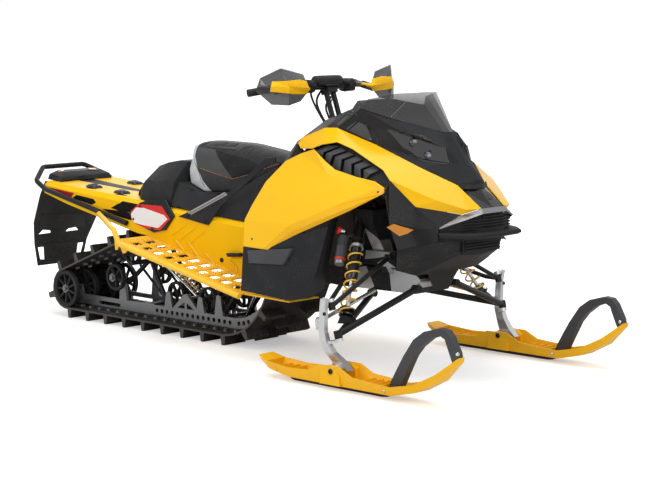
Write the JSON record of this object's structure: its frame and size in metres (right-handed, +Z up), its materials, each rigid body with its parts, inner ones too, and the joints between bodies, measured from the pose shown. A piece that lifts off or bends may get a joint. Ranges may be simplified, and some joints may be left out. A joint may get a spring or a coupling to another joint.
{
  "type": "snowmobile",
  "caption": "snowmobile with faceted bodywork, steered skis on twin-tube arms, lugged track in a sheet tunnel, wedge seat and handlebar",
  "frame": {"origin": "middle of the footprint, on the ground", "axes": "+X forward, +Y to the rider's left, +Z up"},
  "size_m": [3.254, 1.213, 1.301],
  "materials": {
    "yellow": "gloss yellow moulded panel",
    "yellow_metal": "yellow painted sheet",
    "ski_yellow": "satin yellow moulding",
    "black_panel": "matte black moulded panel",
    "grey_panel": "dark grey moulded plastic",
    "black_steel": "black powder coat",
    "cast_alloy": "bare casting",
    "rail_alloy": "grey anodised",
    "dark_alloy": "dark grey paint",
    "spring_gold": "gold painted steel",
    "steel": "bright steel",
    "track_rubber": "moulded rubber",
    "grip_rubber": "soft rubber",
    "seat_cover": "coated seat fabric",
    "clear_lens": "clear lens",
    "smoke_lens": "smoked screen",
    "red_lens": "lamp lens",
    "amber": "amber reflector",
    "silver_trim": "silver paint",
    "plate_white": "blank plate"
  },
  "bodies": {
    "chassis": {"track": "track_rubber", "skid_rails": "rail_alloy", "slider_shoes": "black_panel", "rear_wheels": "black_panel", "idler_wheels": "black_panel", "drive_axle": "black_steel", "skid_arms": "black_steel", "skid_shocks": "steel", "skid_spring": "spring_gold", "tunnel": "yellow_metal", "running_boards": "yellow_metal", "rear_bumper": "dark_alloy", "snow_flap": "black_panel", "tail_light": "black_panel", "tail_lenses": "red_lens", "cargo_anchors": "black_panel", "side_plates": "plate_white", "seat": "seat_cover", "rear_cover": "black_panel", "fuel_tank": "black_panel", "seat_braces": "dark_alloy", "hood": "black_panel", "knee_panels": "black_panel", "headlights": "clear_lens", "vents": "black_panel", "top_strips": "yellow", "side_panels": "yellow", "lower_panels": "grey_panel", "nose_panels": "black_panel", "belly_pan": "grey_panel", "side_reflectors": "amber", "grille_trim": "silver_trim", "grilles": "black_panel", "front_bumper": "black_steel", "windshield": "smoke_lens", "bulkhead": "cast_alloy", "engine": "dark_alloy", "steering_frame": "black_steel", "lower_arms": "black_steel", "upper_arms": "black_steel", "front_shocks": "black_steel", "front_springs": "spring_gold"},
    "handlebar_set": {"steering_post": "black_steel", "handlebar": "black_steel", "grips": "grip_rubber", "handguards": "smoke_lens", "controls": "black_panel"},
    "leg_right_set": {"leg_right": "cast_alloy"},
    "ski_right_set": {"ski_right": "ski_yellow", "ski_keel_right": "steel", "ski_loop_right": "grey_panel"},
    "tie_rod_right_set": {"tie_rod_right": "steel"},
    "leg_left_set": {"leg_left": "cast_alloy"},
    "ski_left_set": {"ski_left": "ski_yellow", "ski_keel_left": "steel", "ski_loop_left": "grey_panel"},
    "tie_rod_left_set": {"tie_rod_left": "steel"}
  },
  "joints": [
    {"name": "steering", "type": "hinge", "parent": "chassis", "child": "handlebar_set", "pos_m": [0.383, 0, 1.208], "axis": [-0.342, 0, 0.9397], "range_deg": [-36, 36]},
    {"name": "leg_right_turn", "type": "hinge", "parent": "chassis", "child": "leg_right_set", "pos_m": [0.959, -0.532, 0.206], "axis": [-0.2484, -0.0523, 0.9673], "range_deg": [-28.08, 28.08]},
    {"name": "ski_right_pitch", "type": "hinge", "parent": "leg_right_set", "child": "ski_right_set", "pos_m": [0.971, -0.5405, 0.081], "axis": [0, 1, 0], "range_deg": [-20, 15]},
    {"name": "tie_rod_right_turn", "type": "hinge", "parent": "leg_right_set", "child": "tie_rod_right_set", "pos_m": [0.844, -0.532, 0.24], "axis": [-0.2484, -0.0523, 0.9673], "range_deg": [-28.08, 28.08]},
    {"name": "leg_left_turn", "type": "hinge", "parent": "chassis", "child": "leg_left_set", "pos_m": [0.959, 0.532, 0.206], "axis": [-0.2484, 0.0523, 0.9673], "range_deg": [-28.08, 28.08]},
    {"name": "ski_left_pitch", "type": "hinge", "parent": "leg_left_set", "child": "ski_left_set", "pos_m": [0.971, 0.5405, 0.081], "axis": [0, 1, 0], "range_deg": [-20, 15]},
    {"name": "tie_rod_left_turn", "type": "hinge", "parent": "leg_left_set", "child": "tie_rod_left_set", "pos_m": [0.844, 0.532, 0.24], "axis": [-0.2484, 0.0523, 0.9673], "range_deg": [-28.08, 28.08]}
  ],
  "couplings": [
    {"joint": "leg_right_turn", "follows": "steering", "ratio": 0.78},
    {"joint": "tie_rod_right_turn", "follows": "steering", "ratio": -0.78},
    {"joint": "leg_left_turn", "follows": "steering", "ratio": 0.78},
    {"joint": "tie_rod_left_turn", "follows": "steering", "ratio": -0.78}
  ]
}
